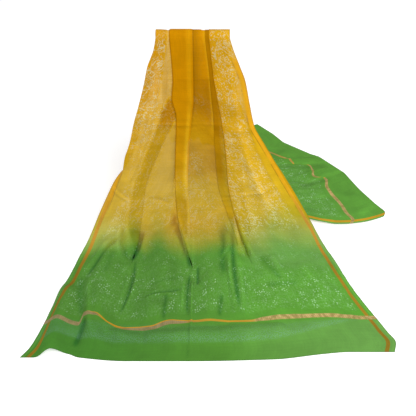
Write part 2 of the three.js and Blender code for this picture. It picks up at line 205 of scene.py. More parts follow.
# Creases of the front, one row each: its two ends (length from the hem, x), how far it
# bows out to the right between them, the height of its ridge (a trough is negative),
# its width and how much steeper its right side is.
CREASE_COLUMNS = "s0 x0 s1 x1 bow height width skew"
CREASES = table(CREASE_COLUMNS, [
    # pouch under the left fold: its arms and the ridges beside them
    (300, -230, 425, -260, -12, -5, 6, 0),
    (295, -250, 430, -270, -10, 4, 7, 0),
    (300, -230, 410, -200, 5, -13, 8, 0),
    (325, -235, 420, -240, 0, 4.5, 8, 0),
    (320, -205, 400, -190, 0, 3.5, 8, 0),
    # long crease that runs down from the pouch
    (120, -245, 320, -215, 12, -7, 6, 0),
    (130, -235, 310, -205, 12, 4.5, 8, 0),
    (150, -250, 290, -225, 5, 3, 9, 0),
    # diagonals left of the pouch
    (235, -355, 400, -260, -5, -6, 7, 0),
    (260, -360, 390, -290, -5, 3.5, 10, 0),
    (240, -300, 350, -275, 0, -3, 12, 0),
    # central fold: the tail of the deep pleats
    (255, -40, 490, -120, 0, -8, 9, 0),
    (300, -40, 480, -95, -5, 5, 8, 0),
    (250, -55, 400, -100, 3, 4, 8, 0),
    (215, -30, 290, -30, 0, -7, 5, 0),
    (120, -55, 270, -50, -5, -7, 5, 0),
    (130, -70, 250, -65, -3, 5, 7, 0),
    (120, -45, 240, -45, 0, 4, 7, 0),
    # fine creases across
    (175, -185, 215, -65, 6, -5, 4, 0),
    (170, -185, 195, -95, 5, 3, 5, 0),
    (215, -180, 265, -65, 14, -2.5, 6, 0),
    # two valleys right of the middle, with a ridge between them
    (240, 45, 440, 55, -5, -6, 14, 0),
    (190, 70, 410, 65, -8, 5, 8, 0),
    (120, 90, 440, 75, -8, -7, 9, 0),
    (130, 105, 330, 90, 0, 4, 9, 0),
    # right fold that runs down out of the hanging panel
    (305, 125, 470, 75, 0, -7, 8, 0),
    (300, 140, 440, 95, 0, 5, 7, 0),
    (310, 115, 430, 75, 0, 4, 6, 0),
    (230, 215, 320, 155, -5, -4, 13, 0),
    (265, 210, 320, 185, 0, 4, 9, 0),
    (220, 150, 235, 270, 8, -3, 14, 0),
    (180, 330, 300, 260, 0, 3, 12, 0),
    # short hollows above the gold line
    (105, -120, 195, -115, 0, -5, 9, 0),
    (115, 30, 195, 40, 0, -5, 9, 0),
    # hollow beside the left selvedge
    (110, -340, 260, -365, -5, -4, 15, 0),
    (60, -305, 250, -340, -5, 4, 10, 0.5),
    (20, -350, 120, -330, 5, -6, 8, 0),
    # pressed lines lengthwise and across
    (0, -45, 420, -45, 0, 3.4, 3.2, 0),
    (0, -53, 105, -53, 0, -3, 3, 0),
    (495, -215, 560, -290, -8, -2, 4, 0),
    (495, -230, 545, -290, -6, 3, 4, 0),
    (510, -190, 490, -110, -5, -3, 5, 0),
    (500, 20, 550, 210, 5, 2, 4.5, 0),
    (740, -200, 740, 120, 0, 1.2, 4, 0),
    (805, -90, 805, -45, 0, 1.4, 4, 0),
    (870, -170, 870, 100, 0, 1, 4, 0),
    # soft swell along the hem panel
    (70, -180, 95, 380, 30, 4, 26, 0),
    # long soft folds of the hanging panels
    (450, 210, 900, 65, -35, 5, 12, 0.3),
    (480, 250, 880, 85, -25, 4, 10, -0.3),
    (520, -260, 880, -140, 20, 4, 9, 0.4),
    (560, -230, 820, -150, 10, 3.5, 8, -0.3),
])
DISPLAY_POWER = 2.2      # from a brightness as seen to a share of light
RIDGE_GAIN = 1.5         # how far the relief exaggerates a ridge
TROUGH_GAIN = 0.9        # how much of a trough the relief has
CREASE_STEPS = 16        # straight steps along a bowed crease

# Rumples, each with its height, size and seed: of the cloth that lies and hangs in
# front, of the whole front, and of the second end.
PUCKERS = ((1.9, 120, 3), (0.9, 46, 4))
FINE_PUCKERS = ((0.35, 30, 5),)
BACK_PUCKERS = ((1.8, 130, 8), (0.8, 44, 9))
FRONT_LIFT = 2.0         # keeps the puckers clear of the surface
BACK_LIFT = 2.4
GATHER_COUNT = 10.4      # gathers across the hanging back
GATHER_HEIGHT = 21.0

# Where the woven gold line of the front shows, from the hem, as the puckers draw it
# up, and how wide it looks where the cloth turns away.
GOLD_LINE = table("x s wide", [
    (-470, 100, 12), (-425, 100, 12), (-370, 90, 12), (-345, 90, 12), (-335, 120, 12),
    (-305, 120, 9), (-265, 100, 4), (-220, 90, 8), (-155, 90, 12), (-90, 110, 12),
    (-50, 110, 7), (30, 110, 5), (115, 110, 6), (150, 115, 11), (300, 115, 13),
    (410, 105, 12), (470, 105, 11),
])

# The same on the second end, by cloth coordinate across. It is lost in two folds.
BACK_GOLD_LINE = table("across s wide", [
    (0, 105, 10), (400, 90, 8), (570, 85, 7), (620, 95, 7), (635, 100, 0), (655, 65, 0),
    (665, 60, 8), (695, 80, 8), (725, 95, 9), (740, 90, 9), (745, 80, 0), (750, 75, 0),
    (755, 75, 10), (800, 95, 11), (900, 105, 11), (960, 120, 11), (1000, 120, 10),
])

# Creases of the second end, as for the front, with the place across instead of x.
BACK_CREASES = table(CREASE_COLUMNS, [
    (-20, 715, 220, 560, -5, 7, 9, 0.6),
    (20, 705, 170, 630, 0, -6, 10, 0),
    (-20, 765, 160, 750, -10, 7, 9, 0.6),
    (60, 765, 190, 765, 0, -7, 9, 0),
    (90, 840, 260, 840, -5, 4, 10, -0.3),
    (10, 560, 160, 500, 0, -3, 12, 0),
    (0, 935, 100, 960, 5, 4, 9, 0),
    (150, 800, 260, 780, 0, 3, 12, 0),
    (30, 880, 90, 820, 0, -3, 14, 0),
])
GOLD_FROM_HEM = 105.0
BORDER_ARC = 48.0        # how far from the hem the pale bloom of the hem panel starts
BORDER_RISE = 45.0       # how much farther it starts at the right


# ---- small helpers ------------------------------------------------------------
def mix(a, b, t):
    return a + (b - a) * t


def smooth(a, b, v):
    t = np.clip((np.asarray(v, float) - a) / (b - a), 0, 1)
    return t * t * (3 - 2 * t)


def during(v, a, b, c, d):
    """Rises from 0 to 1 between a and b and falls back to 0 between c and d."""
    return smooth(a, b, v) * (1 - smooth(c, d, v))


def between(v, a, b, soft):
    """1 from a to b, easing over the soft width at both ends."""
    return during(v, a - soft, a + soft, b - soft, b + soft)


def slopes(grade):
    """Slopes at the points of a line that never overshoots its points."""
    before, after = grade[..., :-1], grade[..., 1:]
    same = before * after > 0
    total = np.where(same, before + after, 1.0)
    inner = np.where(same, 2 * before * after / total, 0.0)
    return np.concatenate([grade[..., :1], inner, grade[..., -1:]], axis=-1)


def smooth_line(t, a, b, slope_a, slope_b):
    """From a to b, with the given slope at each end."""
    return ((1 + 2 * t) * (1 - t) ** 2 * a + t * (1 - t) ** 2 * slope_a
            + t * t * (3 - 2 * t) * b + t * t * (t - 1) * slope_b)


def curve(rows, key, name, v):
    """Smooth line through one column of a table, flat beyond its ends."""
    xs, ys = rows[key], rows[name]
    step = np.diff(xs)
    slope = slopes(np.diff(ys) / step)
    v = np.clip(v, xs[0], xs[-1])
    i = np.clip(np.searchsorted(xs, v) - 1, 0, len(step) - 1)
    h = step[i]
    return smooth_line((v - xs[i]) / h, ys[i], ys[i + 1], h * slope[i], h * slope[i + 1])


def columns_of(rows, key, v):
    """Smooth line through every column of a table but its key."""
    return {name: curve(rows, key, name, v) for name in rows if name != key}


def edges(s):
    """Left and right edge of the front at each length from the hem."""
    return [curve(FRONT_EDGES, "s", side, s) for side in ("left", "right")]


def ridge_shape(distance, width):
    return 0.5 + 0.5 * np.cos(np.pi * np.clip(np.abs(distance) / width, 0, 1))


def unit(v):
    return v / np.linalg.norm(v, axis=-1, keepdims=True)


# ---- relief ------------------------------------------------------------------
def on_run(x, s, x0, s0, x1, s1):
    """Where each point lies along a straight run, 0 to 1, and how far off it in x and s."""
    dx, ds = x1 - x0, s1 - s0
    t = np.clip(((x - x0) * dx + (s - s0) * ds) / (dx * dx + ds * ds), 0, 1)
    return t, x - x0 - dx * t, s - s0 - ds * t


def crease_relief(x, s, crease, narrow=1.0):
    """Ridge or trough along a bowed run between two ends, fading out at both."""
    s0, x0, s1, x1, bow, height, width, skew = crease
    width = width * narrow
    t = np.linspace(0, 1, CREASE_STEPS + 1)
    out_by = 4 * bow * t * (1 - t) / math.hypot(s1 - s0, x1 - x0)
    ps = mix(s0, s1, t) - (x1 - x0) * out_by
    px = mix(x0, x1, t) + (s1 - s0) * out_by
    span = 4 * width
    near = ((s > min(ps) - span) & (s < max(ps) + span)
            & (x > min(px) - span) & (x < max(px) + span))
    xs, ss = x[near], s[near]
    nearest = np.full(xs.shape, np.inf)
    side = np.zeros(xs.shape)
    place = np.zeros(xs.shape)
    for k in range(CREASE_STEPS):
        on, off_x, off_s = on_run(xs, ss, px[k], ps[k], px[k + 1], ps[k + 1])
        away = np.hypot(off_x, off_s)
        to_right = off_x * abs(ps[k + 1] - ps[k]) + off_s * abs(px[k + 1] - px[k]) >= 0
        closer = away < nearest
        nearest = np.where(closer, away, nearest)
        side = np.where(closer, np.where(to_right, 1, -1), side)
        place = np.where(closer, (k + on) / CREASE_STEPS, place)
    spread = width * (1 - 0.6 * skew * side)
    out = np.zeros(x.shape)
    out[near] = height * np.exp(-(nearest / spread) ** 2) * during(place, 0, 0.22, 0.78, 1)
    return out


def rumple(x, s, size, seed, count=7):
    """Sum of a few seeded waves: gentle unevenness of about the given size."""
    rng = np.random.default_rng(seed)
    total = np.zeros(np.broadcast(x, s).shape)
    for _ in range(count):
        turn = rng.uniform(0, 2 * math.pi)
        wave = size * rng.uniform(0.7, 1.6)
        shift = rng.uniform(0, 2 * math.pi)
        total += np.sin(2 * math.pi * (x * math.cos(turn) + s * math.sin(turn)) / wave + shift)
    return total / math.sqrt(count)


def rumples(x, s, rows):
    return sum(height * rumple(x, s, size, seed) for height, size, seed in rows)


def front_relief(x, s):
    swell = np.zeros(x.shape)
    for x0, s0, x1, s1, width, height in zip(*FRONT_RIDGES.values()):
        _, off_x, off_s = on_run(x, s, x0, s0, x1, s1)
        swell = np.maximum(swell, height * ridge_shape(np.hypot(off_x, off_s), width))
    detail = np.zeros(x.shape)
    for crease in zip(*CREASES.values()):
        mark = crease_relief(x, s, crease)
        detail += np.where(mark > 0, RIDGE_GAIN, TROUGH_GAIN) * mark
    past_hem = smooth(20, 160, s)
    detail += past_hem * (FRONT_LIFT + rumples(x, s, PUCKERS)) + rumples(x, s, FINE_PUCKERS)
    return swell * (1 - smooth(820, 960, s)) + detail * (1 - 0.75 * smooth(700, 960, s))


def back_relief(across, along):
    swell = np.zeros(np.broadcast(across, along).shape)
    for a0, l0, a1, l1, spread, height in zip(*BACK_RIDGES.values()):
        t = (along - l0) / (l1 - l0)
        centre = mix(a0, a1, np.clip(t, 0, 1))
        swell = swell + height * ridge_shape(across - centre, spread) * during(t, -0.15, 0.4, 0.8, 1.3)
    slack = BACK_SLACK * np.sin(np.pi * across)
    swell = swell + slack * (ridge_shape(along - 330, 90) + ridge_shape(along - 520, 100))

    # gathers of the hanging back
    gathers = during(along, 290, 520, 960, 1080) * smooth(0.0, 0.08, across) * smooth(0.0, 0.08, 1 - across)
    phase = 2 * math.pi * (GATHER_COUNT * across + 0.3 * np.sin(along / 130)) + 1.4 * np.sin(5 * across)
    wave = GATHER_HEIGHT * gathers * (0.8 + 0.2 * np.sin(17 * across + along / 90))

    x, s = across * CLOTH_WIDTH, along + 0 * across
    fine = BACK_LIFT + rumples(x, s, BACK_PUCKERS)
    for crease in zip(*BACK_CREASES.values()):
        fine = fine + crease_relief(x, s, crease)
    return (swell * (1 - smooth(700, 960, along)) + wave * (0.6 + np.sin(phase))
            + fine * smooth(0, 60, along))


# ---- base surface --------------------------------------------------------------
TOP_SLOPE = math.atan(HANG_LENGTH / HANG_CURVE)
HANG_RUN = HANG_CURVE * math.asinh(HANG_LENGTH / HANG_CURVE)
TOP_Y = FRONT_HEM_Y + FRONT_LYING + HANG_RUN
TOP_Z = math.hypot(HANG_CURVE, HANG_LENGTH) - HANG_CURVE
BAR_Y = TOP_Y + BAR_RADIUS * math.sin(TOP_SLOPE)
BAR_Z = TOP_Z - BAR_RADIUS * math.cos(TOP_SLOPE)
BACK_TOP_Y = BAR_Y + BAR_RADIUS * math.sin(TOP_SLOPE)

# rows of the grid
FRONT_ROWS, BAR_ROWS, BACK_ROWS = 300, 8, 102
front_s = np.linspace(0, FRONT_TOP - 7, FRONT_ROWS)
bar_turn = np.linspace(0, 1, BAR_ROWS)
back_along = np.linspace(BACK_LENGTH - 10, 0, BACK_ROWS)
ROWS = FRONT_ROWS + BAR_ROWS + BACK_ROWS
IN_FRONT = slice(0, FRONT_ROWS)
ON_BAR = slice(FRONT_ROWS, FRONT_ROWS + BAR_ROWS)
BEHIND = slice(FRONT_ROWS + BAR_ROWS, ROWS)
row_s = np.concatenate([front_s, np.full(BAR_ROWS + BACK_ROWS, FRONT_TOP)])
row_along = np.concatenate([np.full(FRONT_ROWS + BAR_ROWS, BACK_LENGTH), back_along])
is_back = np.arange(ROWS) >= FRONT_ROWS + BAR_ROWS


def front_base(across):
    s = np.broadcast_to(front_s[:, None], across.shape)
    x = mix(*edges(s), across)
    hang = np.maximum(0, s - FRONT_LYING)
    hem = curve(FRONT_HEM, "x", "y", x) * (1 - smooth(0, 300, s))
    run = HANG_CURVE * np.arcsinh(hang / HANG_CURVE)
    y = FRONT_HEM_Y + hem + np.minimum(s, FRONT_LYING) + run
    z = np.hypot(HANG_CURVE, hang) - HANG_CURVE
    slope = np.arctan(hang / HANG_CURVE)
    outward = np.stack([np.zeros_like(slope), -np.sin(slope), np.cos(slope)], -1)
    relief = front_relief(x, s)
    return np.stack([x, y, z], -1) + outward * relief[..., None], outward


def bar_base(across):
    x = mix(*edges(FRONT_TOP), across)
    angle = np.broadcast_to(mix(TOP_SLOPE, -TOP_SLOPE, bar_turn)[:, None], x.shape)
    outward = np.stack([np.zeros_like(x), -np.sin(angle), np.cos(angle)], -1)
    centre = np.stack([x, np.full(x.shape, BAR_Y), np.full(x.shape, BAR_Z)], -1)
    return centre + outward * BAR_RADIUS, outward


# How the hem and the steering points go on past a selvedge, per width of the cloth.
HEM_PAST_EDGE = np.array([700.0, -600.0])
STEER_PAST_EDGE = np.array([500.0, -700.0])
TABLE_ACROSS = np.linspace(-0.04, 1.04, 163)
TABLE_ALONG = np.linspace(0, BACK_LENGTH, 241)


def back_table():
    """Plan and height of the back half, on an even grid of across and along."""
    left, right = edges(FRONT_TOP)
    grid = np.empty((len(TABLE_ACROSS), len(TABLE_ALONG), 3))
    t = np.linspace(0, 1, 401)[:, None]
    for k, across in enumerate(TABLE_ACROSS):
        x = mix(left, right, across)
        held = np.clip(across, 0, 1)
        extra = across - held
        ray = {n: np.interp(held, BACK_RAYS["across"], BACK_RAYS[n]) for n in BACK_RAYS}
        end = np.array([ray["hemX"], ray["hemY"]]) + HEM_PAST_EDGE * extra
        steer = np.array([ray["steerX"], ray["steerY"]]) + STEER_PAST_EDGE * extra
        start = np.array([x, BACK_TOP_Y])
        leave = np.array([x, BACK_TOP_Y + BACK_LEAVES_BAR])
        plan = (start * (1 - t) ** 3 + leave * 3 * t * (1 - t) ** 2
                + steer * 3 * t * t * (1 - t) + end * t ** 3)
        length = np.concatenate([[0], np.cumsum(np.linalg.norm(np.diff(plan, axis=0), axis=1))])
        reach = length[-1]
        lying = max(LEAST_LYING, reach - HANG_RUN)
        climb = np.maximum(0, TABLE_ALONG - lying)
        whole = BACK_LENGTH - lying
        bend = (TOP_CLIMB - HANG_LENGTH / whole) / whole
        hang = climb * (HANG_LENGTH / whole - bend * whole + bend * climb)
        back = np.where(TABLE_ALONG > lying,
                        lying + HANG_CURVE * np.arcsinh(hang / HANG_CURVE), TABLE_ALONG)
        from_bar = reach - np.minimum(back, reach)
        grid[k, :, 0] = np.interp(from_bar, length, plan[:, 0])
        grid[k, :, 1] = np.interp(from_bar, length, plan[:, 1])
        grid[k, :, 2] = np.hypot(HANG_CURVE, hang) - HANG_CURVE
    normal = np.cross(np.gradient(grid, axis=1), np.gradient(grid, axis=0))
    return grid, unit(normal)


BACK_GRID, BACK_NORMAL = back_table()


def read_grid(grid, across, along):
    a = (across - TABLE_ACROSS[0]) / (TABLE_ACROSS[1] - TABLE_ACROSS[0])
    b = along / (TABLE_ALONG[1] - TABLE_ALONG[0])
    i = np.clip(a.astype(int), 0, len(TABLE_ACROSS) - 2)
    j = np.clip(b.astype(int), 0, len(TABLE_ALONG) - 2)
    u, v = (a - i)[..., None], (b - j)[..., None]
    near = mix(grid[i, j], grid[i, j + 1], v)
    far = mix(grid[i + 1, j], grid[i + 1, j + 1], v)
    return mix(near, far, u)


def back_base(across):
    along = np.broadcast_to(back_along[:, None], across.shape)
    outward = unit(read_grid(BACK_NORMAL, across, along))
    relief = back_relief(across, along)
    return read_grid(BACK_GRID, across, along) + outward * relief[..., None], outward


def base(across):
    """Point on the cloth and its outward direction, for every row."""
    parts = [front_base(across[IN_FRONT]), bar_base(across[ON_BAR]), back_base(across[BEHIND])]
    return np.concatenate([p for p, _ in parts]), np.concatenate([n for _, n in parts])


# ---- pleats ------------------------------------------------------------------
def stage(a, b, back_a, back_b):
    """0 to 1 for every row, by its length from the front hem or from the second hem."""
    return np.where(is_back, smooth(back_a, back_b, row_along), smooth(a, b, row_s))


def lay_columns():
    """Places and levels of the columns of every row, as the pleats hold them."""
    one = np.ones((ROWS, 1))
    width = np.linalg.norm(base(0 * one)[0] - base(one)[0], axis=-1)[:, 0]
    left, right = edges(row_s)
    fold = {}
    for name in ("bandLeft", "bandRight", "stackLeft", "stackRight", "dark", "panel"):
        front = (curve(FRONT_FOLDS, "s", name, row_s) - left) / (right - left)
        behind = curve(BACK_FOLDS, "along", name, row_along)
        fold[name] = np.where(is_back, behind, front) * width
    gathered, folded, opened = {}, {}, {}
    for name, (ends, back_ends) in PLEATS.items():
        gathered[name] = stage(ends - GATHER_FRONT, ends, back_ends - GATHER_BACK, back_ends)
        folded[name] = smooth(0.1, 0.75, gathered[name])
        opened[name] = stage(ends - 20, ends + OPEN_FRONT, back_ends - 20, back_ends + OPEN_BACK)
    top = stage(850, 985, 740, 900)
    r = FOLD_REACH
    columns = []

    def add(x, level, hold=None, drop=0.0):
        columns.append((x + 0 * width, level + 0 * width, hold, drop + 0 * width))

    # left selvedge: a narrow strip turned under along the upper part
    under = stage(500, 650, 560, 860)
    band_level = 2 * folded["band"]
    left_level = mix(band_level, TOP_LEVEL_LEFT, top)
    fold_x = SELVEDGE_TURN * (1 - under)
    swing = np.pi * under
    for reach in (SELVEDGE_TURN, SELVEDGE_TURN / 2):
        x = fold_x - reach * np.cos(swing)
        add(x, mix(left_level, -1, under), under, reach * np.sin(swing))
    add(fold_x, mix(left_level, (left_level - 1) / 2, under), under)
    add(fold_x + r, left_level, under)
    left_end = np.maximum(fold_x + r + 2, fold["bandLeft"] - 1.5)
    add(mix(fold_x + r, left_end, 0.5), left_level)
    add(left_end, mix(left_level, band_level, 0.3), gathered["band"])

    def add_pleat(name, turn, x, over, level):
        up = turn * folded[name]
        start = x + over if turn > 0 else x
        end = x if turn > 0 else x - over
        path = ((start - r, 0), (start, 0.5), (start - r, 0.8),
                (end + r, 1.2), (end, 1.5), (end + r, 2))
        for px, layer in path:
            add(px, level + layer * up, gathered[name])
        return level + 2 * up

    over = np.maximum(LEAST_FOLD, (fold["bandRight"] - fold["bandLeft"]) * opened["band"])
    level = add_pleat("band", -1, fold["bandRight"], over, band_level)
    gap = fold["stackLeft"] - fold["bandRight"]
    add(fold["bandRight"] + np.minimum(2, 0.3 * gap), level, gathered["band"])
    add(fold["stackLeft"] - np.minimum(3, 0.3 * gap), level, gathered["stack1"])

    room = fold["stackRight"] - fold["stackLeft"] - STACK_EDGE
    for k, name in enumerate(("stack1", "stack2", "stack3")):
        over = np.maximum(LEAST_FOLD, (room - STACK_LEAN * k) * opened[name])
        level = add_pleat(name, 1, fold["stackLeft"] + STACK_LEAN * k, over, level)
    wall = np.maximum(fold["stackRight"], fold["stackLeft"] + 12)
    valley = mix(0, TOP_LEVEL_VALLEY, top)
    add(mix(fold["stackLeft"] + 4, wall - 4, 0.5), level)
    add(wall - 4, level)
    add(wall - 0.5, mix(level, valley, 0.45))
    add(wall + 2.5, valley, gathered["stack3"])

    add(mix(wall + 2.5, fold["dark"] - 3, 0.6), valley)
    add(np.maximum(wall + 4, fold["dark"] - 2.5), 0, gathered["panel1"])
    room = fold["panel"] - fold["dark"] + 12 + 20 * top
    dark_over = np.maximum(LEAST_FOLD, room * opened["panel1"])
    room = np.minimum(RIGHT_FOLD_DEPTH, width - fold["panel"] - 10)
    panel_over = np.maximum(LEAST_FOLD, room * opened["panel2"])
    level = add_pleat("panel1", 1, fold["dark"], dark_over, 0 * width)
    level = add_pleat("panel2", 1, fold["panel"], panel_over, level)
    stack_end = np.maximum(fold["dark"] + dark_over, fold["panel"] + panel_over)
    rest = level * mix(0.35, 1, smooth(500, 900, row_s))
    add(stack_end + 1.5, level, gathered["panel2"])
    add(mix(stack_end, width, 0.3), mix(level, rest, 0.5))
    add(mix(stack_end, width, 0.65), rest)
    add(width, rest, np.ones(ROWS))

    # where a pleat has run out, its columns spread over the cloth
    placed = [None] * len(columns)
    for i, (x, _, hold, _) in enumerate(columns):
        if hold is not None:
            spread = curve(OPEN_COLUMNS, "column", "across", i) * width
            placed[i] = mix(spread, x, hold)
    for i, (x, _, hold, _) in enumerate(columns):
        if hold is None:
            a = max(k for k in range(i) if columns[k][2] is not None)
            b = min(k for k in range(i, len(columns)) if columns[k][2] is not None)
            xa, xb = columns[a][0], columns[b][0]
            placed[i] = mix(placed[a], placed[b], (x - xa) / (xb - xa))
    pitch = mix(LAYER_PITCH_LOW, LAYER_PITCH_TOP, stage(760, 985, 960, 1100))[:, None]
    place = np.stack(placed, 1)
    lift = np.stack([c[1] for c in columns], 1) * pitch - np.stack([c[3] for c in columns], 1)
    stacks = [
        (fold["bandLeft"] - 1, fold["bandRight"] + 1, gathered["band"]),
        (fold["stackLeft"] - 1, wall + 3, gathered["stack3"]),
        (fold["dark"] - 1, stack_end + 1, gathered["panel2"]),
    ]
    return width, place, lift, stacks


# Steps between one column and the next, by how wide the cloth between them is.
COLUMN_STEPS = ([6] * 5 + [4] * 7 + [3] * 13 + [4] + [3] * 5 + [4] * 7 + [3] * 5 + [4] * 6
                + [14] * 4)


def along_columns(values):
    """Smooth line through each row's columns, at the finer steps."""
    slope = slopes(np.diff(values, axis=1))
    out = [values[:, :1]]
    for i, steps in enumerate(COLUMN_STEPS):
        t = (np.arange(1, steps + 1) / steps)[None, :]
        a, b = values[:, i:i + 1], values[:, i + 1:i + 2]
        out.append(smooth_line(t, a, b, slope[:, i:i + 1], slope[:, i + 1:i + 2]))
    return np.concatenate(out, axis=1)


def build_grid():
    width, place, lift, stacks = lay_columns()
    x = along_columns(place)
    lift = along_columns(lift)
    width = width[:, None]
    point, outward = base(x / width)
    for start, end, flat in stacks:
        # layers of one stack share a straight base, so that they stay parallel
        a, na = base(start[:, None] / width)
        b, nb = base(end[:, None] / width)
        t = ((x - start[:, None]) / (end - start)[:, None])[..., None]
        inside = (t > 0) & (t < 1)
        share = np.where(inside, smooth(0.3, 0.7, flat)[:, None, None], 0)
        point = mix(point, mix(a, b, t), share)
        outward = mix(outward, unit(mix(na, nb, t)), share)
    point = point + unit(outward) * lift[..., None]
    crown = np.where(is_back, smooth(860, 1090, row_along), smooth(820, FRONT_TOP, row_s))
    point[..., 2] = np.maximum(0, point[..., 2]) + CLEAR_OF_FLOOR + CROWN_RISE * crown[:, None]
    return point, x, lift


def blur_rows(values, reach):
    """Mean over neighbouring rows."""
    first, last = np.repeat(values[:1], reach, 0), np.repeat(values[-1:], reach, 0)
    padded = np.concatenate([first, values, last])
    total = np.cumsum(np.concatenate([0 * padded[:1], padded]), axis=0)
    span = 2 * reach + 1
    return (total[span:] - total[:-span]) / span


def cloth_across(point, x, lift):
    """Place across the cloth of every point. Spare cloth goes where upper layers hide it."""
    step = np.linalg.norm(np.diff(point, axis=1), axis=-1)
    lo = np.minimum(x[:, :-1], x[:, 1:])
    hi = np.maximum(x[:, :-1], x[:, 1:])
    level = (lift[:, :-1] + lift[:, 1:]) / 2
    above = np.zeros(x.shape)
    for k in range(x.shape[1]):
        crossed = (lo <= x[:, k:k + 1]) & (hi > x[:, k:k + 1])
        above[:, k] = (crossed & (level > lift[:, k:k + 1] + 0.4)).sum(1)
    hidden = (above[:, :-1] + above[:, 1:]) > 1
    weight = blur_rows(step * (0.02 + hidden), 12)
    spare = CLOTH_WIDTH - step.sum(1, keepdims=True)
    across = np.cumsum(step + spare * weight / weight.sum(1, keepdims=True), axis=1)
    across = np.concatenate([np.zeros((ROWS, 1)), across], axis=1)
    return across * CLOTH_WIDTH / across[:, -1:]


point, place, lift = build_grid()
across_mm = cloth_across(point, place, lift)
along_rows = np.concatenate([front_s, FRONT_TOP + OVER_BAR * bar_turn, CLOTH_LENGTH - back_along])
along_mm = np.repeat(along_rows[:, None], point.shape[1], axis=1)
in_front = along_mm < FRONT_TOP


def gold_line(name):
    """A column of the gold lines' tables, for both ends of the cloth."""
    return np.where(in_front, curve(GOLD_LINE, "x", name, point[..., 0]),
                    curve(BACK_GOLD_LINE, "across", name, across_mm))


# near the gold lines the cloth's lengths shift, so that each line wanders as it does
# on puckered cloth
from_hem = np.minimum(along_mm, CLOTH_LENGTH - along_mm)
drawn_up = (GOLD_FROM_HEM - gold_line("s")) * during(from_hem, 0, 80, 150, 360)
along_mm = along_mm + drawn_up * np.where(in_front, 1, -1)


def fold_line(name):
    return curve(FRONT_FOLDS, "s", name, row_s)[:, None]


# ---- how deep, shaded and printed the cloth looks ---------------------------------
# Edges of the tinted zones of the front: x at each length from the hem.
ZONES = table("s strip bandLeft bandRight tailLeft tailRight", [
    (380, -190, -225, -195, -80, -70), (415, -190, -225, -195, -90, -65),
    (455, -190, -225, -195, -105, -60), (520, -190, -220, -190, -110, -60),
    (565, -180, -205, -175, -100, -60), (630, -170, -180, -150, -95, -55),
    (690, -160, -160, -125, -95, -55), (770, -150, -130, -90, -90, -45),
    (815, -135, -110, -95, -95, -40), (865, -125, -100, -95, -100, -40),
    (965, -105, -100, -95, -100, -40),
])

# Look of the valley between the deep pleats and the right panel, with its painted shade.
VALLEY = table("s deep shade printing", [
    (420, 0.5, 0.95, 0.6), (480, 0.38, 0.99, 0.7), (530, 0.25, 0.94, 0.7),
    (600, 0.65, 0.87, 0.25), (665, 0.65, 0.9, 0.05), (700, 0.6, 0.93, 0.0),
    (760, 0.7, 0.95, 0.0), (796, 0.9, 0.88, 0.15), (812, 0.95, 0.85, 0.28), (836, 1.0, 0.84, 0.1),
    (852, 1.0, 0.87, 0.0), (878, 1.0, 0.95, 0.0), (990, 0.95, 0.98, 0.0),
])

# Painted side light on the lower front, darker at the left, lighter at the right: hem panel,
# green part, yellow part; and how deep the hem panel's green is painted, darker at the left.
PAINTED_SIDE_LIGHT = table("x hem green yellow hemDeep", [
    (-420, 0.97, 0.92, 1.0, 0.62), (-300, 0.95, 0.93, 1.0, 0.6), (-150, 0.93, 0.93, 0.95, 0.5),
    (0, 0.93, 1.0, 0.96, 0.33), (110, 0.97, 1.07, 1.0, 0.2), (420, 0.99, 1.1, 1.0, 0.08),
])

# How far the change from green to yellow lies beyond its usual place.
TURN_SHIFT = table("x shift", [
    (-380, -5), (-300, 0), (-260, 15), (-225, 30), (-190, 5), (-150, 25), (-110, -5),
    (-60, -5), (15, 0), (50, 30), (75, 25), (95, -5), (165, 0), (200, 20), (340, 20),
])


LOOKS = ("deep", "shade", "printing")
FRONT_LOOK = (0.3, 1.0, 1.0)
# painted light: the second end is painted a little lighter than the front
BACK_LOOK = (0.22, 1.05, 1.0)

# Columns of the sheet at which the deep pleats, the valley and the right panel start.
PLEATS_START, VALLEY_START, PANEL_START = 13.5, 34.4, 44.5
SELVEDGE_STRIP = (10, 16)      # where the deeper strip along a selvedge fades out
CREASE_NARROW = 0.75           # a painted crease is narrower than its relief
DARKEST_CREASE = -9.0
# painted highlight on crease ridges and painted shade in troughs, per millimetre of height
RIDGE_LIGHT, TROUGH_SHADE = 0.016, 0.012
TROUGH_DEEP, TROUGH_BARE = 0.08, 0.1

column_place = np.concatenate([[0]] + [i + np.arange(1, k + 1) / k for i, k in enumerate(COLUMN_STEPS)])


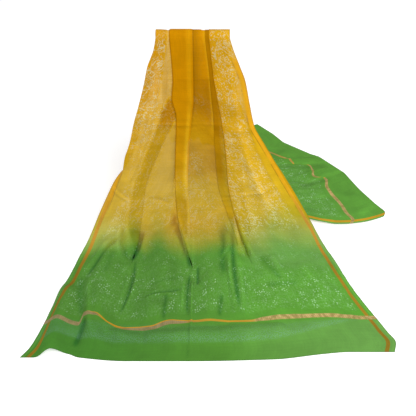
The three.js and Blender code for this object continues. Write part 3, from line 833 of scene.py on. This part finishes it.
def paint_marks():
    """How deep, shaded and printed the cloth looks, zone by zone between its fold lines.

    Depth stands for the layers behind a sheer cloth: 0 one layer, 1 many.
    Shade is painted light and shade: how much lighter or darker than its usual tone the cloth is painted
    where folds shade it, where light catches it and from side to side.
    """
    s = np.broadcast_to(row_s[:, None], point.shape[:2])
    x = point[..., 0]
    column = np.broadcast_to(column_place[None, :], x.shape)
    zone = columns_of(ZONES, "s", s)
    pleats, wall = fold_line("stackLeft"), fold_line("stackRight")
    dark, panel = fold_line("dark"), fold_line("panel")
    look = {name: np.full(x.shape, value) for name, value in zip(LOOKS, FRONT_LOOK)}

    def lay(share, **values):
        for name, value in values.items():
            look[name] = mix(look[name], value, share)

    hung = smooth(400, 480, s)
    in_pleats = (column >= PLEATS_START) & (column < VALLEY_START) & (x > pleats - 2)
    in_valley = (column >= VALLEY_START) & (column < PANEL_START) & (x < panel + 2)
    in_panel = column >= PANEL_START
    on_left = ~(in_pleats | in_valley | in_panel)

    # several layers lie behind the middle of the yellow part
    lay(between(x, -235, 50, 18) * during(s, 368, 400, 480, 540), deep=0.6, printing=0.4)

    # left panel, its print seen through a second layer lower down
    lay(on_left * hung, deep=mix(0.28, 0.6, smooth(740, 840, s)),
        shade=mix(0.99, 1.0, smooth(780, 880, s)), printing=mix(0.6, 1.15, smooth(640, 780, s)))
    lay(on_left * smooth(775, 815, s) * smooth(zone["strip"] - 3, zone["strip"] + 3, x),
        deep=0.0, shade=1.04, printing=0.3)
    lay(on_left * during(s, 490, 545, 775, 800) * between(x, zone["bandRight"], pleats, 2),
        deep=0.15, shade=0.97, printing=0.1)
    band = between(x, zone["bandLeft"], zone["bandRight"], 2)
    lay(on_left * during(s, 520, 560, 808, 822) * band,
        deep=mix(0.4, 0.95, smooth(700, 770, s)), shade=0.94, printing=0.35)
    # painted shadow of the deep pleats on the left panel beside them
    pleat_shadow = smooth(pleats - 16, pleats - 2, x) * during(s, 430, 500, 640, 720)
    look["shade"] = look["shade"] * (1 - 0.08 * on_left * pleat_shadow)

    # deep pleats: one lit strip beside their right edge
    lit = during(wall - x, 2, 6, 13, 17)
    layered = np.interp(s, (470, 540, 600, 740, 800), (0.35, 0.5, 0.75, 0.85, 1.0))
    lay(in_pleats * smooth(420, 470, s), deep=layered - 0.3 * lit,
        shade=mix(1.05, 1.02, smooth(700, 800, s)) + 0.03 * lit,
        printing=0.5 * (1 - smooth(540, 610, s)))
    lay(between(x, zone["tailLeft"], zone["tailRight"], 3) * during(s, 376, 400, 500, 530),
        deep=0.6, shade=1.01, printing=0.2)

    # valley between the deep pleats and the right panel, painted with shade; its zones slant down to the
    # right
    drop = 0.7 * np.clip(x - wall, 0, 60) * during(s, 640, 760, 800, 850)
    valley = {name: np.interp(s + drop, VALLEY["s"], VALLEY[name]) for name in LOOKS}
    across_valley = smooth(0.0, 0.9, (x - wall) / (dark - wall))
    # painted shade across the top of the valley: darkest beside the pleats, lighter to the right
    slope = mix(1.0, mix(0.91, 1.07, across_valley), smooth(850, 880, s))
    # near the right panel's fold: deeper and unprinted, partly painted shade of the fold and partly the
    # layer under it
    near = smooth(panel - 62, panel - 14, x) * during(s, 400, 450, 690, 740)
    # painted shadow line along the pleats' right edge
    wall_shadow = (1 - smooth(1, 5, x - wall)) * smooth(700, 760, s)
    lay(in_valley * smooth(410, 460, s), deep=valley["deep"] + 0.2 * near,
        shade=valley["shade"] * slope * (1 + 0.02 * near) * (1 - 0.1 * wall_shadow),
        printing=valley["printing"] * (1 - near))
    lay(in_valley * between(x, -56, -22, 2) * between(s, 584, 648, 3), deep=0.6, printing=0.9)
    # painted highlight: a pale line just left of the dark fold's edge
    lay(in_valley * between(x, dark - 6, dark - 1.5, 1.2) * smooth(700, 740, s) * 0.6,
        deep=0.35, shade=1.03)
    # painted shade where the valley runs under the right panel, deep for the layers there
    lay(in_valley * smooth(690, 720, s) * smooth(dark - 2, dark + 3, x),
        deep=1.0, shade=0.89, printing=0.0)

    # right panel: no print and a deeper tone right beside the fold
    inward = np.maximum(0, x - panel)
    lay(in_panel * hung, deep=0.34 + 0.4 * np.exp(-inward / 9), printing=smooth(0, 4, inward),
        shade=mix(1.04, 1.0, smooth(680, 760, s)))

    # painted side light from side to side, lower down, on the hem panel as a deeper green at the left
    tone = columns_of(PAINTED_SIDE_LIGHT, "x", x)
    above_border = smooth(84, 120, s)
    side_light = mix(mix(tone["hem"], tone["green"], above_border), tone["yellow"], smooth(330, 400, s))
    look["shade"] = look["shade"] * mix(side_light, 1.0, smooth(480, 560, s))
    look["deep"] = mix(tone["hemDeep"], look["deep"], above_border)
    lay(between(x, 120, 420, 30) * between(s, 275, 420, 30), deep=0.12, shade=1.0)
    lay((1 - smooth(-270, -220, x)) * between(s, 330, 440, 30), deep=0.12, shade=1.02)
    lay((1 - smooth(-250, -200, x)) * between(s, 440, 560, 30), shade=0.96)

    # selvedges
    edge = np.minimum(across_mm, CLOTH_WIDTH - across_mm)
    strip = (1 - smooth(*SELVEDGE_STRIP, edge)) * during(s, 380, 480, 900, 935)
    look["deep"] = mix(look["deep"], 0.75, strip)
    look["shade"] = look["shade"] * (1 + 0.04 * strip)

    for name, value in zip(LOOKS, BACK_LOOK):
        look[name][BEHIND] = value
    look["deep"] = np.clip(look["deep"], 0, 1)
    return [blur_rows(look[name], 2) for name in LOOKS]


def paint_creases(deep, shade, printing):
    """Creases as thin lines: painted highlight on the ridges, painted shade in the troughs, which are also
    painted deeper, partly for shade and partly for the cloth doubled there, and less printed.
    """
    mark = np.zeros(point.shape[:2])
    length = np.repeat(front_s[:, None], point.shape[1], 1)
    for crease in zip(*CREASES.values()):
        mark[IN_FRONT] += crease_relief(point[IN_FRONT, :, 0], length, crease, CREASE_NARROW)
    mark = np.maximum(mark * (1 - 0.8 * smooth(520, 600, row_s)[:, None]), DARKEST_CREASE)
    shade = shade * np.clip(1 + np.where(mark > 0, RIDGE_LIGHT, TROUGH_SHADE) * mark, 0.6, 1.1)
    trough = np.maximum(-mark, 0)
    # painted highlight and shade along the second end's creases
    length = np.repeat(back_along[:, None], point.shape[1], 1)
    for crease in zip(*BACK_CREASES.values()):
        mark = crease_relief(across_mm[BEHIND], length, crease)
        shade[BEHIND] *= np.clip(1 + RIDGE_LIGHT * mark, 0.8, 1.08)
    return np.clip(deep + TROUGH_DEEP * trough, 0, 1), shade, printing * (1 - TROUGH_BARE * trough)


def border_bloom():
    """Faint pale bloom from an arc along the hem panel to the gold line."""
    x, s = point[..., 0], row_s[:, None]
    past = s - BORDER_ARC - BORDER_RISE * (np.clip(x - 60, 0, 320) / 320) ** 2
    share = smooth(-4, 6, past) * (1 - smooth(92, 104, s))
    share = share * (0.5 + 0.5 * np.exp(-((past - 6) / 12) ** 2))
    return share * in_front * between(x, -440, 400, 30)


deep, shade, printing = paint_creases(*paint_marks())
marks = {
    "across": across_mm,
    "along": along_mm,
    "deep": deep,
    "shade": shade ** DISPLAY_POWER,
    "printing": printing,
    "gold_wide": gold_line("wide"),
    "bloom": border_bloom(),
    "turn_shift": np.where(in_front, curve(TURN_SHIFT, "x", "shift", point[..., 0]), 0.0),
}


# ---- mesh ----------------------------------------------------------------------
def make_sheet(name, grid, marks):
    rows, columns = grid.shape[:2]
    index = np.arange(rows * columns).reshape(rows, columns)
    quads = np.stack([index[:-1, :-1], index[:-1, 1:], index[1:, 1:], index[1:, :-1]], -1)
    mesh = bpy.data.meshes.new(name)
    mesh.from_pydata(grid.reshape(-1, 3).tolist(), [], quads.reshape(-1, 4).tolist())
    for key, values in marks.items():
        layer = mesh.attributes.new(key, "FLOAT", "POINT")
        layer.data.foreach_set("value", values.astype(np.float32).ravel())
    mesh.polygons.foreach_set("use_smooth", [True] * len(mesh.polygons))
    mesh.update()
    piece = bpy.data.objects.new(name, mesh)
    bpy.context.collection.objects.link(piece)
    return piece


cloth = make_sheet("dupatta_cloth", (point + origin) * MM, marks)


# ---- shader nodes ----------------------------------------------------------------
class Value:
    """An output of a shader node, which adds and multiplies as a number does."""

    def __init__(self, nodes, socket):
        self.nodes = nodes
        self.socket = socket

    def __add__(self, other):
        return self.nodes.math("ADD", self, other)

    def __sub__(self, other):
        return self.nodes.math("SUBTRACT", self, other)

    def __rsub__(self, other):
        return self.nodes.math("SUBTRACT", other, self)

    def __mul__(self, other):
        return self.nodes.math("MULTIPLY", self, other)

    def __truediv__(self, other):
        return self.nodes.math("DIVIDE", self, other)

    def __abs__(self):
        return self.nodes.math("ABSOLUTE", self)


class Nodes:
    """Short ways to add and join the nodes of a material or of the world."""

    def __init__(self, owner):
        owner.use_nodes = True
        self.tree = owner.node_tree
        self.tree.nodes.clear()

    def add(self, kind, inputs=(), **settings):
        """New node, from its settings and its inputs, each by name or number."""
        node = self.tree.nodes.new(kind)
        for key, value in settings.items():
            setattr(node, key, value)
        for key, value in dict(inputs).items():
            if isinstance(value, Value):
                self.tree.links.new(value.socket, node.inputs[key])
            else:
                node.inputs[key].default_value = value
        return node

    def value(self, kind, inputs=(), output=0, **settings):
        return Value(self, self.add(kind, inputs, **settings).outputs[output])

    def parts(self, kind, whole):
        """The single numbers of a colour or of a place."""
        return [Value(self, socket) for socket in self.add(kind, {0: whole}).outputs]

    def math(self, operation, *values):
        return self.value("ShaderNodeMath", enumerate(values), operation=operation)

    def most(self, first, *others):
        for other in others:
            first = self.math("MAXIMUM", first, other)
        return first

    def mark(self, name):
        return self.value("ShaderNodeAttribute", output="Fac", attribute_name=name)

    def ramp(self, value, low, high, to_low=0.0, to_high=1.0):
        return self.value("ShaderNodeMapRange", enumerate((value, low, high, to_low, to_high)),
                          interpolation_type="SMOOTHSTEP")

    def band(self, value, low, high, soft):
        """1 between low and high, falling to 0 over the soft width."""
        return (self.ramp(value, low - soft, low + soft)
                * self.ramp(value, high - soft, high + soft, 1, 0))

    def vector(self, x, y):
        return self.value("ShaderNodeCombineXYZ", {0: x, 1: y})

    def noise(self, place, scale, detail, rough=0.5):
        inputs = {"Vector": place, "Scale": scale, "Detail": detail, "Roughness": rough}
        return self.value("ShaderNodeTexNoise", inputs, noise_dimensions="3D")

    def patches(self, place, scale, detail, low, high, to_low=0.0, to_high=1.0):
        """Noise, steepened between low and high."""
        return self.ramp(self.noise(place, scale, detail), low, high, to_low, to_high)

    def blend(self, share, a, b, how="MIX"):
        return self.value("ShaderNodeMix", {0: share, 6: a, 7: b}, 2, data_type="RGBA", blend_type=how)

    def both(self, share, a, b):
        """Two shaders, the second with the given share."""
        return self.value("ShaderNodeMixShader", {0: share, 1: a, 2: b})


def srgb(r, g, b):
    """Linear colour of a hue given as 0 to 255."""
    def line(c):
        c /= 255
        return c / 12.92 if c <= 0.04045 else ((c + 0.055) / 1.055) ** 2.4
    return (line(r), line(g), line(b), 1.0)


# ---- ornaments of the print ---------------------------------------------------------
FULL_TURN = 2 * math.pi
LINE_SOFT = 0.8


def repeat_cell(n, u, v, wide, tall):
    """Half-drop repeat: coordinates from the middle of each cell."""
    odd = n.math("MODULO", abs(n.math("FLOOR", u / wide)), 2.0)
    x = n.math("FLOORED_MODULO", u, wide) - wide / 2
    y = n.math("FLOORED_MODULO", v + odd * (tall / 2), tall) - tall / 2
    return x, y


def polar(n, x, y):
    return n.math("SQRT", x * x + y * y), n.math("ARCTAN2", y, x)


def line_at(n, distance, half):
    """1 where a distance is close to nought."""
    return n.ramp(abs(distance), half - LINE_SOFT, half + LINE_SOFT, 1, 0)


def lobes(n, angle, count, shift=0.0):
    return n.math("COSINE", angle * count + shift)


def flower(n, x, y, radius, petals):
    """Outlined rosette with a ring and a middle dot."""
    r, angle = polar(n, x, y)
    petal = lobes(n, angle, petals)
    outline = line_at(n, r - (petal * (radius * 0.16) + radius), 1.4)
    ring = line_at(n, r - radius * 0.52, 1.6) * n.ramp(petal, 0.1, 0.6)
    dot = n.ramp(r, radius * 0.12, radius * 0.3, 1, 0)
    return n.most(outline, ring, dot)


def vine(n, x, y, radius, wander, side):
    """Curling stem with leaves along it."""
    r, angle = polar(n, x, y)
    away = r - (lobes(n, angle, 3, side) * wander + radius)
    leaf = n.ramp(lobes(n, angle, round(radius * 0.45), side), -0.2, 0.9) * 7.5
    return n.most(line_at(n, away, 1.5), line_at(n, abs(away) - leaf, 1.1) * 0.7)


def scatter(n, u, v, size, loose):
    """The nearest of many scattered places: offset, distance and three numbers of its own."""
    inputs = {"Vector": n.vector(u / size, v / size), "Scale": 1.0, "Randomness": loose}
    cells = n.add("ShaderNodeTexVoronoi", inputs, voronoi_dimensions="2D", feature="F1")
    x, y, _ = n.parts("ShaderNodeSeparateXYZ", Value(n, cells.outputs["Position"]))
    own = n.parts("ShaderNodeSeparateColor", Value(n, cells.outputs["Color"]))
    return u - x * size, v - y * size, Value(n, cells.outputs["Distance"]) * size, own


def strokes(n, u, v, size, length, half):
    """Small bent strokes, each turned its own way."""
    dx, dy, _, own = scatter(n, u, v, size, 0.8)
    angle = own[0] * FULL_TURN
    c, s = n.math("COSINE", angle), n.math("SINE", angle)
    a = dx * c + dy * s
    b = dy * c - dx * s
    return line_at(n, b - a * a * 0.09, half) * line_at(n, a, length)


def sprigs(n, u, v, size, spots, dot):
    """Scattered small blossoms of a few spots, each turned its own way."""
    dx, dy, _, own = scatter(n, u, v, size, 0.75)
    r, angle = polar(n, dx, dy)
    around = n.ramp(lobes(n, own[0] * FULL_TURN + angle, spots), 0.35, 0.75)
    out = line_at(n, r - (own[2] * (0.5 * dot) + 1.9 * dot), dot)
    return around * out * n.ramp(own[1], 0.0, 0.5, 0.25, 1.0)


def beads(n, u, v, size, radius):
    """Scattered round dots, some of them faint."""
    _, _, away, own = scatter(n, u, v, size, 0.7)
    return line_at(n, away, radius) * n.ramp(own[0], 0.2, 0.5)


# ---- material ------------------------------------------------------------------
# Colours of the ground: where one layer shows, two, and many.
GREENS = (112, 168, 78), (86, 149, 44), (46, 122, 28)
LOW_YELLOWS = (208, 176, 78), (212, 175, 34), (198, 146, 6)
HIGH_YELLOWS = (214, 170, 72), (224, 170, 16), (210, 144, 0)
GREEN_UP_TO, YELLOW_FROM = 304.0, 456.0     # lengths from the hem
INK_ON_GREEN, INK_ON_YELLOW = (184, 226, 178), (222, 206, 152)
BLOOM_COLOUR = (128, 176, 148)
REPEAT = (84.0, 104.0)                      # width and length of the print's repeat
WANDER = 14.0                               # how far the hand-printed rows stray
END_THREAD, END_GOLDS = (104, 100, 50), ((158, 142, 84), (200, 172, 116))
LEFT_END_GOLD, THIN_END_GOLD, LIT_EDGE = (146, 136, 100), (196, 152, 50), (216, 158, 38)
SIDE_GOLDS = (152, 122, 38), (192, 144, 52), (222, 164, 30)
SECOND_SIDE_GOLD = (194, 150, 40)
SIDE_BAND = (16.0, 27.0)                    # from the selvedge
FOLD_SHADOW, RIM_GREEN = (150, 98, 24), (128, 196, 84)
TRANSLUCENT, SEE_THROUGH = 0.22, 0.03


def cloth_places(n):
    """Places on the cloth in millimetres, and the marks that its mesh carries."""
    at = SimpleNamespace(**{name: n.mark(name) for name in marks})
    at.from_end = n.math("MINIMUM", at.along, CLOTH_LENGTH - at.along)
    at.from_side = n.math("MINIMUM", at.across, CLOTH_WIDTH - at.across)
    at.spot = n.vector(at.across, at.along)
    at.turned = n.vector(at.along, at.across)
    at.drift = n.noise(at.spot, 0.012, 3) - 0.5
    at.shade_at = at.drift * 50.0 + at.from_end - at.turn_shift
    wider = n.most(n.ramp(at.across, 640, 860, 0, 0.8), n.ramp(at.across, 120, 30, 0, 0.5))
    at.yellow = n.ramp(at.shade_at, wider * -5.0 + GREEN_UP_TO, wider * 80.0 + YELLOW_FROM)
    at.tucked = n.ramp(at.from_end, 900, 935, 1, 0)
    return at


def dyed_ground(n, at):
    """Green ends that shade into yellow, deeper where more layers lie behind."""
    thin, thick = n.ramp(at.deep, 0.0, 0.3), n.ramp(at.deep, 0.3, 1.0)

    def layered(one, two, many):
        return n.blend(thin, srgb(*one), n.blend(thick, srgb(*two), srgb(*many)))

    warm = n.ramp(at.from_end, 420, 900)
    yellow = n.blend(warm, layered(*LOW_YELLOWS), layered(*HIGH_YELLOWS))
    return n.blend(at.yellow, layered(*GREENS), yellow)


def printed_share(n, at):
    """Where the pale ink lies: a leafy trail on the yellow, sprigs on the green."""
    u = at.drift * WANDER + at.across
    v = (n.noise(at.turned, 0.03, 1) - 0.5) * WANDER + at.along
    x, y = repeat_cell(n, u, v, *REPEAT)
    big, small = (x, y + 20.0), (x - 22.0, y - 26.0)
    trail = n.most(flower(n, *big, 12.0, 8), flower(n, *small, 7.0, 6),
                   vine(n, *big, 26.0, 4.0, 0.7), vine(n, *small, 16.0, 3.0, 2.0))
    trail = trail * n.patches(at.spot, 0.09, 1, 0.46, 0.52)
    swirl = abs(n.noise(at.spot, 0.12, 0) - 0.5)
    curls = n.ramp(swirl, 0.022, 0.042, 1, 0) * n.patches(at.turned, 0.07, 1, 0.44, 0.5)
    dots = beads(n, v, u, 8.4, 1.9) * n.patches(at.spot, 0.06, 1, 0.44, 0.48)
    scroll = n.most(trail, curls, dots) * n.patches(at.spot, 0.025, 1, 0.38, 0.48, 0.35, 1.0)

    margin = n.ramp(at.from_end, 560, 800, 46, 18) * at.tucked
    inside = n.ramp(at.from_side - margin, -4, 6)
    dense = scroll * inside * n.ramp(at.shade_at, 360, 430) * at.printing
    on_cloth = n.ramp(at.from_side, 33, 38)
    light = (strokes(n, v, u, 7.5, 2.2, 0.7) * on_cloth * n.ramp(at.from_end, 128, 150)
             * at.printing * 0.16)

    blossoms = n.most(sprigs(n, u, v, 42.0, 5, 2.5), sprigs(n, v, u, 29.0, 3, 2.1),
                      beads(n, u, v, 14.0, 1.7) * 0.6)
    blossoms = blossoms * n.patches(at.spot, 0.022, 1, 0.42, 0.58, 0.25, 1.0)
    mottle = n.patches(at.spot, 0.16, 2, 0.45, 0.62, 0, 0.12)
    low_down = (n.ramp(at.from_end, 124, 134) * n.ramp(at.shade_at, 380, 430, 1, 0)
                * n.ramp(at.from_end, 230, 310, 1.0, 0.4))
    low_print = n.most(blossoms, mottle) * on_cloth * low_down
    return n.most(dense, light, low_print) * n.patches(at.spot, 0.05, 3, 0.32, 0.6, 0.75, 1.0)


def print_on(n, at, colour, printed):
    ink = n.blend(at.yellow, srgb(*INK_ON_GREEN), srgb(*INK_ON_YELLOW))
    colour = n.blend(printed * n.ramp(at.yellow, 0.2, 0.8, 0.68, 0.86), colour, ink)
    speck = n.patches(at.spot, 0.35, 2, 0.42, 0.6)
    return n.blend(at.bloom * speck * 0.42, colour, srgb(*BLOOM_COLOUR))


def end_gold_colour(n, at, off_line, half):
    """Gold line across an end: grey-gold threads, duller at the left, lit along its top."""
    thread = n.ramp(n.math("SINE", at.across * 1.1), -1, 1, 0.75, 1.0)
    dull, bright = END_GOLDS
    worn = n.blend(n.patches(at.spot, 0.08, 2, 0.35, 0.65), srgb(*dull), srgb(*bright))
    colour = n.blend(thread, srgb(*END_THREAD), worn)
    colour = n.blend(n.ramp(at.across, 480, 620, 0.6, 0.0), colour, srgb(*LEFT_END_GOLD))
    colour = n.blend(n.ramp(at.gold_wide, 9, 5), colour, srgb(*THIN_END_GOLD))
    top_edge = n.band(off_line - half, -2.4, -0.2, 0.5) * n.band(at.across, 150, 470, 30)
    return n.blend(top_edge, colour, srgb(*LIT_EDGE))


def gold_on(n, at, colour):
    """Woven gold lines at both ends and along both selvedges; also where they lie."""
    half = at.gold_wide * 0.5
    off_line = at.from_end - GOLD_FROM_HEM
    at_end = n.ramp(abs(off_line) - half, -0.9, 0.9, 1, 0)

    # the selvedge rolls over a little, more the higher it hangs
    second = n.math("GREATER_THAN", at.along, FRONT_TOP)
    rolled = (n.ramp(at.from_end, 300, 430, 0.0, 8.0) + n.ramp(at.from_end, 540, 640, 0.0, 5.0)
              + second * n.ramp(at.from_end, 430, 300) * 8.0)
    from_side = at.from_side + rolled
    at_side = n.band(from_side, *SIDE_BAND, 0.8) * at.tucked
    low, middle, high = SIDE_GOLDS
    side = n.blend(n.ramp(at.from_end, 250, 400), srgb(*low), srgb(*middle))
    side = n.blend(second, side, srgb(*SECOND_SIDE_GOLD))
    side = n.blend(n.ramp(at.from_end, 430, 560), side, srgb(*high))

    shadow = (n.band(from_side, 27.5, 30.5, 0.8) * n.ramp(at.from_end, 430, 520) * at.tucked
              * n.patches(at.spot, 0.03, 2, 0.4, 0.55))
    colour = n.blend(shadow * 0.55, colour, srgb(*FOLD_SHADOW))
    inside_rim = n.band(at.from_side, 3.5, 10.0, 1.2) * n.ramp(at.from_end, 420, 300)
    colour = n.blend(inside_rim * 0.2, colour, srgb(*RIM_GREEN))
    colour = n.blend(at_side, colour, side)
    colour = n.blend(at_end, colour, end_gold_colour(n, at, off_line, half))
    return colour, n.most(at_end, at_side)


def uneven(n, at, colour):
    """Unevenness of the hand dyeing and of the weave, the painted light and shade of the marks, and the
    darker rim.
    """
    blotch = n.patches(at.spot, 0.02, 4, 0.3, 0.7, 0.93, 1.05)
    slub = n.patches(n.vector(at.across * 0.02, at.along), 0.5, 1, 0.3, 0.7, 0.965, 1.03)
    warp = n.patches(n.vector(at.across, at.along * 0.02), 0.5, 1, 0.3, 0.7, 0.965, 1.03)
    rim = n.ramp(n.math("MINIMUM", at.from_side, at.from_end), 1.5, 3.5, 0.8, 1.0)
    tone = blotch * slub * warp * at.shade * rim
    grey = n.value("ShaderNodeCombineColor", {0: tone, 1: tone, 2: tone})
    return n.blend(1.0, colour, grey, "MULTIPLY")


def thread_relief(n, at, gold):
    ribs = n.math("SINE", at.along * 2.1) * 0.05 + n.math("SINE", at.across * 2.1) * 0.05
    height = ribs + n.noise(at.spot, 0.09, 4, 0.6) * 1.6 + gold * 0.25
    return n.value("ShaderNodeBump", {"Strength": 0.5, "Distance": MM, "Height": height})


def cloth_material():
    material = bpy.data.materials.new("printed_cloth")
    n = Nodes(material)
    at = cloth_places(n)
    printed = printed_share(n, at)
    colour, gold = gold_on(n, at, print_on(n, at, dyed_ground(n, at), printed))
    colour = uneven(n, at, colour)
    normal = thread_relief(n, at, gold)
    front = n.value("ShaderNodeBsdfPrincipled", {
        "Base Color": colour, "Roughness": gold * -0.3 + 0.72,
        "Specular IOR Level": 0.03, "Normal": normal})
    glow = n.value("ShaderNodeBsdfTranslucent", {"Color": colour, "Normal": normal})
    clear = n.value("ShaderNodeBsdfTransparent")
    bare = (1.0 - printed) * (1.0 - gold) * SEE_THROUGH
    n.add("ShaderNodeOutputMaterial", {0: n.both(bare, n.both(TRANSLUCENT, front, glow), clear)})
    return material


cloth.data.materials.append(cloth_material())
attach(cloth, "root")
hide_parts("dupatta")


# ---- floor and light --------------------------------------------------------------
WHITE = (1, 1, 1, 1)
FLOOR_GREY = (0.86, 0.86, 0.86, 1)
FLOOR_HALF = 8.0
FLOOR_GLOW = 0.42        # whitens the floor, yet leaves the object's shadow on it
SKY_LIGHT = 0.45


def in_view(n):
    """1 for rays from the camera, in a reflection and through clear cloth."""
    path = n.add("ShaderNodeLightPath")
    rays = ("Is Camera Ray", "Is Glossy Ray", "Is Transmission Ray")
    return n.most(*[Value(n, path.outputs[name]) for name in rays])


def make_floor():
    material = bpy.data.materials.new("floor")
    n = Nodes(material)
    matt = n.value("ShaderNodeBsdfDiffuse", {"Color": FLOOR_GREY})
    dark = n.value("ShaderNodeEmission", {"Strength": 0.0})
    bright = n.value("ShaderNodeEmission", {"Strength": FLOOR_GLOW})
    glow = n.both(in_view(n), dark, bright)
    n.add("ShaderNodeOutputMaterial", {0: n.value("ShaderNodeAddShader", {0: matt, 1: glow})})
    mesh = bpy.data.meshes.new("floor")
    corners = [(FLOOR_HALF * x, FLOOR_HALF * y, 0) for x, y in ((-1, -1), (1, -1), (1, 1), (-1, 1))]
    mesh.from_pydata(corners, [], [(0, 1, 2, 3)])
    mesh.materials.append(material)
    floor = bpy.data.objects.new("floor", mesh)
    bpy.context.collection.objects.link(floor)


def make_world():
    world = bpy.data.worlds.new("studio")
    n = Nodes(world)
    soft = n.value("ShaderNodeBackground", {"Color": WHITE, "Strength": SKY_LIGHT})
    white = n.value("ShaderNodeBackground", {"Color": WHITE})
    n.add("ShaderNodeOutputWorld", {0: n.both(in_view(n), soft, white)})
    bpy.context.scene.world = world


def add_lamp(name, place, target, size, power):
    data = bpy.data.lights.new(name, "AREA")
    data.size = size
    data.energy = power
    lamp = bpy.data.objects.new(name, data)
    lamp.location = place
    aim = unit(np.array(target, float) - np.array(place, float))
    lamp.rotation_euler = (math.acos(-aim[2]), 0, math.atan2(-aim[0], aim[1]))
    bpy.context.collection.objects.link(lamp)


bpy.context.scene.view_settings.view_transform = "Standard"
make_floor()
make_world()
add_lamp("key", place=(1.1, -1.5, 2.7), target=(0, 0.1, 0.1), size=1.6, power=62)
add_lamp("fill", place=(-1.9, -0.9, 2.0), target=(0, 0, 0.2), size=1.8, power=16)
